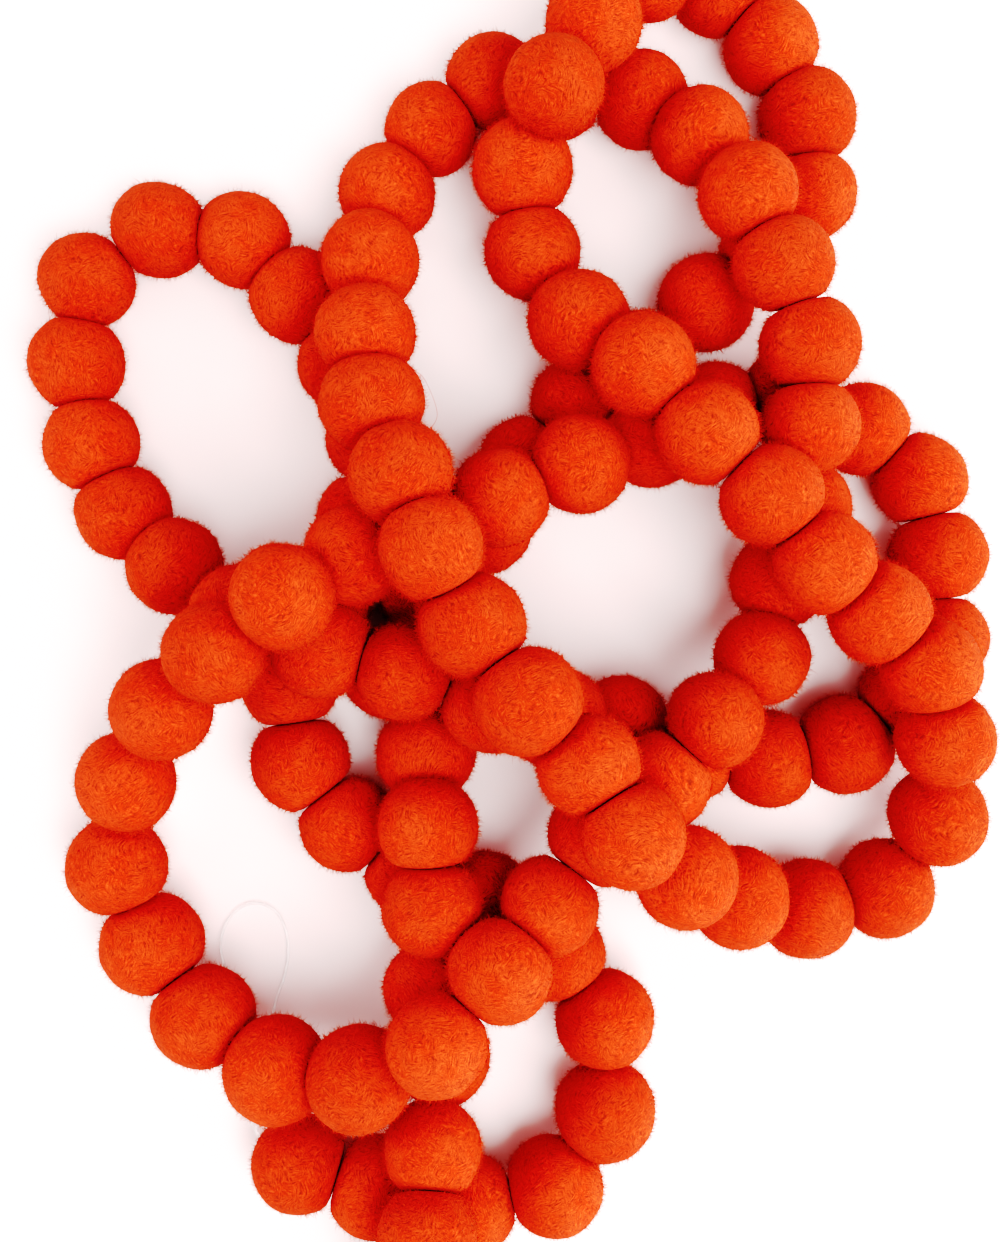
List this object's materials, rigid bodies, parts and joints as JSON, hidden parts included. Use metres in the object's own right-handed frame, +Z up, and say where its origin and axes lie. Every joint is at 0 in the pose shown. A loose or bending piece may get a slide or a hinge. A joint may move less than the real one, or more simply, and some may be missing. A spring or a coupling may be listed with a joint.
{
  "type": "felt ball garland",
  "caption": "Garland of round felt balls threaded tight on a clear line with a hanging loop, lying coiled in a loose pile of loops and crossings.",
  "frame": {"origin": "on the surface the pile lies on, under the middle of the pile", "axes": "+Z up from the surface, +Y along the pile's longer side towards the picture's upper edge, +X to the picture's right"},
  "size_m": [0.2645, 0.4021, 0.0682],
  "materials": {
    "felt": "matt fuzzy wool felt",
    "clear_thread": "clear glossy nylon line"
  },
  "bodies": {
    "root": {"felt_balls_01": "felt", "felt_balls_02": "felt", "felt_balls_03": "felt", "felt_balls_04": "felt", "felt_balls_05": "felt", "felt_balls_06": "felt", "felt_balls_07": "felt", "felt_balls_08": "felt", "felt_balls_09": "felt", "felt_balls_10": "felt", "felt_balls_11": "felt", "felt_balls_12": "felt", "felt_balls_13": "felt", "felt_balls_14": "felt", "felt_balls_15": "felt", "felt_balls_16": "felt", "felt_balls_17": "felt", "felt_balls_18": "felt", "felt_balls_19": "felt", "felt_balls_20": "felt", "felt_balls_21": "felt", "felt_balls_22": "felt", "felt_balls_23": "felt", "felt_balls_24": "felt", "felt_balls_25": "felt", "felt_balls_26": "felt", "felt_balls_27": "felt", "felt_balls_28": "felt", "felt_balls_29": "felt", "felt_balls_30": "felt", "felt_balls_31": "felt", "felt_balls_32": "felt", "felt_balls_33": "felt", "felt_balls_34": "felt", "felt_balls_35": "felt", "felt_balls_36": "felt", "felt_balls_37": "felt", "felt_balls_38": "felt", "felt_balls_39": "felt", "felt_balls_40": "felt", "felt_balls_41": "felt", "felt_balls_42": "felt", "felt_balls_43": "felt", "felt_balls_44": "felt", "felt_balls_45": "felt", "felt_balls_46": "felt", "felt_balls_47": "felt", "felt_balls_48": "felt", "felt_balls_49": "felt", "felt_balls_50": "felt", "felt_balls_51": "felt", "felt_balls_52": "felt", "felt_balls_53": "felt", "felt_balls_54": "felt", "felt_balls_55": "felt", "felt_balls_56": "felt", "felt_balls_57": "felt", "felt_balls_58": "felt", "thread_loop": "clear_thread"}
  },
  "joints": []
}
